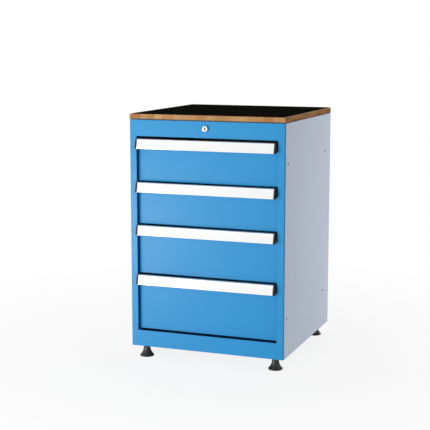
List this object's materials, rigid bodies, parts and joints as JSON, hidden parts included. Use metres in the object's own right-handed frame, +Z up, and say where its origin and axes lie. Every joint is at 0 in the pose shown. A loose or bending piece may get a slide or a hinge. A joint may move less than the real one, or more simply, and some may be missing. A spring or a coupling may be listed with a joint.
{
  "type": "drawer cabinet",
  "caption": "Floor-standing steel workshop cabinet with full-width handled drawers on ball runners, a central lock, a wooden top with a rubber mat and levelling feet.",
  "frame": {"origin": "on the floor, below the middle of the overall box", "axes": "+X right seen from the front, +Y to the back, +Z up; the drawers open towards -Y"},
  "size_m": [0.56, 0.5917, 0.865],
  "materials": {
    "frame_paint": "light blue powder coat, semi-gloss, fine orange peel",
    "panel_paint": "light grey powder coat, semi-gloss",
    "drawer_paint": "light grey powder coat inside the drawers",
    "handle_aluminium": "satin anodised extrusion",
    "label_card": "blank white card strip",
    "black_plastic": "fine grained black moulding",
    "foot_plastic": "black moulded foot",
    "zinc_steel": "zinc plated",
    "lock_chrome": "bright plated",
    "beech": "oiled glued staves, clear lacquer",
    "mat_rubber": "fine ribbed black mat"
  },
  "bodies": {
    "cabinet": {"left_front_post": "frame_paint", "right_front_post": "frame_paint", "rear_uprights": "panel_paint", "lock_rail": "frame_paint", "bottom_rail": "frame_paint", "left_side_panel": "panel_paint", "right_side_panel": "panel_paint", "back_panel": "panel_paint", "base_panel": "frame_paint", "top_panel": "panel_paint", "worktop_board": "beech", "worktop_mat": "mat_rubber", "worktop_screws": "zinc_steel", "lock_barrel": "lock_chrome", "lock_nut": "zinc_steel", "cabinet_runners": "zinc_steel", "foot_bushes": "zinc_steel"},
    "drawer_1": {"drawer_1_box": "drawer_paint", "drawer_1_front": "frame_paint", "drawer_1_handle": "handle_aluminium", "drawer_1_handle_caps": "black_plastic", "drawer_1_label_strip": "label_card", "drawer_1_runners": "zinc_steel"},
    "runner_1": {"drawer_1_middle_runners": "zinc_steel", "drawer_1_ball_cages": "zinc_steel"},
    "drawer_2": {"drawer_2_box": "drawer_paint", "drawer_2_front": "frame_paint", "drawer_2_handle": "handle_aluminium", "drawer_2_handle_caps": "black_plastic", "drawer_2_label_strip": "label_card", "drawer_2_runners": "zinc_steel"},
    "runner_2": {"drawer_2_middle_runners": "zinc_steel", "drawer_2_ball_cages": "zinc_steel"},
    "drawer_3": {"drawer_3_box": "drawer_paint", "drawer_3_front": "frame_paint", "drawer_3_handle": "handle_aluminium", "drawer_3_handle_caps": "black_plastic", "drawer_3_label_strip": "label_card", "drawer_3_runners": "zinc_steel"},
    "runner_3": {"drawer_3_middle_runners": "zinc_steel", "drawer_3_ball_cages": "zinc_steel"},
    "drawer_4": {"drawer_4_box": "drawer_paint", "drawer_4_front": "frame_paint", "drawer_4_handle": "handle_aluminium", "drawer_4_handle_caps": "black_plastic", "drawer_4_label_strip": "label_card", "drawer_4_runners": "zinc_steel"},
    "runner_4": {"drawer_4_middle_runners": "zinc_steel", "drawer_4_ball_cages": "zinc_steel"},
    "lock_cylinder": {"lock_plug": "lock_chrome", "lock_drive_rod": "zinc_steel"},
    "locking_bar": {"locking_bar": "zinc_steel"},
    "front_left_foot": {"front_left_foot_pad": "foot_plastic", "front_left_foot_stud": "zinc_steel"},
    "front_right_foot": {"front_right_foot_pad": "foot_plastic", "front_right_foot_stud": "zinc_steel"},
    "rear_left_foot": {"rear_left_foot_pad": "foot_plastic", "rear_left_foot_stud": "zinc_steel"},
    "rear_right_foot": {"rear_right_foot_pad": "foot_plastic", "rear_right_foot_stud": "zinc_steel"}
  },
  "joints": [
    {"name": "drawer_1_slide", "type": "slide", "parent": "cabinet", "child": "drawer_1", "axis": [0, -1, 0], "range_m": [0, 0.45]},
    {"name": "runner_1_slide", "type": "slide", "parent": "cabinet", "child": "runner_1", "axis": [0, -1, 0], "range_m": [0, 0.225]},
    {"name": "drawer_2_slide", "type": "slide", "parent": "cabinet", "child": "drawer_2", "axis": [0, -1, 0], "range_m": [0, 0.45]},
    {"name": "runner_2_slide", "type": "slide", "parent": "cabinet", "child": "runner_2", "axis": [0, -1, 0], "range_m": [0, 0.225]},
    {"name": "drawer_3_slide", "type": "slide", "parent": "cabinet", "child": "drawer_3", "axis": [0, -1, 0], "range_m": [0, 0.45]},
    {"name": "runner_3_slide", "type": "slide", "parent": "cabinet", "child": "runner_3", "axis": [0, -1, 0], "range_m": [0, 0.225]},
    {"name": "drawer_4_slide", "type": "slide", "parent": "cabinet", "child": "drawer_4", "axis": [0, -1, 0], "range_m": [0, 0.45]},
    {"name": "runner_4_slide", "type": "slide", "parent": "cabinet", "child": "runner_4", "axis": [0, -1, 0], "range_m": [0, 0.225]},
    {"name": "lock_turn", "type": "hinge", "parent": "cabinet", "child": "lock_cylinder", "pos_m": [0, -0.274, 0.819], "axis": [0, 1, 0], "range_deg": [0, 90]},
    {"name": "locking_bar_lift", "type": "slide", "parent": "cabinet", "child": "locking_bar", "axis": [0, 0, 1], "range_m": [0, 0.0113]},
    {"name": "front_left_foot_screw", "type": "slide", "parent": "cabinet", "child": "front_left_foot", "axis": [0, 0, -1], "range_m": [-0.015, 0.01]},
    {"name": "front_right_foot_screw", "type": "slide", "parent": "cabinet", "child": "front_right_foot", "axis": [0, 0, -1], "range_m": [-0.015, 0.01]},
    {"name": "rear_left_foot_screw", "type": "slide", "parent": "cabinet", "child": "rear_left_foot", "axis": [0, 0, -1], "range_m": [-0.015, 0.01]},
    {"name": "rear_right_foot_screw", "type": "slide", "parent": "cabinet", "child": "rear_right_foot", "axis": [0, 0, -1], "range_m": [-0.015, 0.01]}
  ],
  "couplings": [
    {"joint": "runner_1_slide", "follows": "drawer_1_slide", "ratio": 0.5},
    {"joint": "runner_2_slide", "follows": "drawer_2_slide", "ratio": 0.5},
    {"joint": "runner_3_slide", "follows": "drawer_3_slide", "ratio": 0.5},
    {"joint": "runner_4_slide", "follows": "drawer_4_slide", "ratio": 0.5},
    {"joint": "lock_turn", "follows": "locking_bar_lift", "rad_per_m": 138.84}
  ]
}
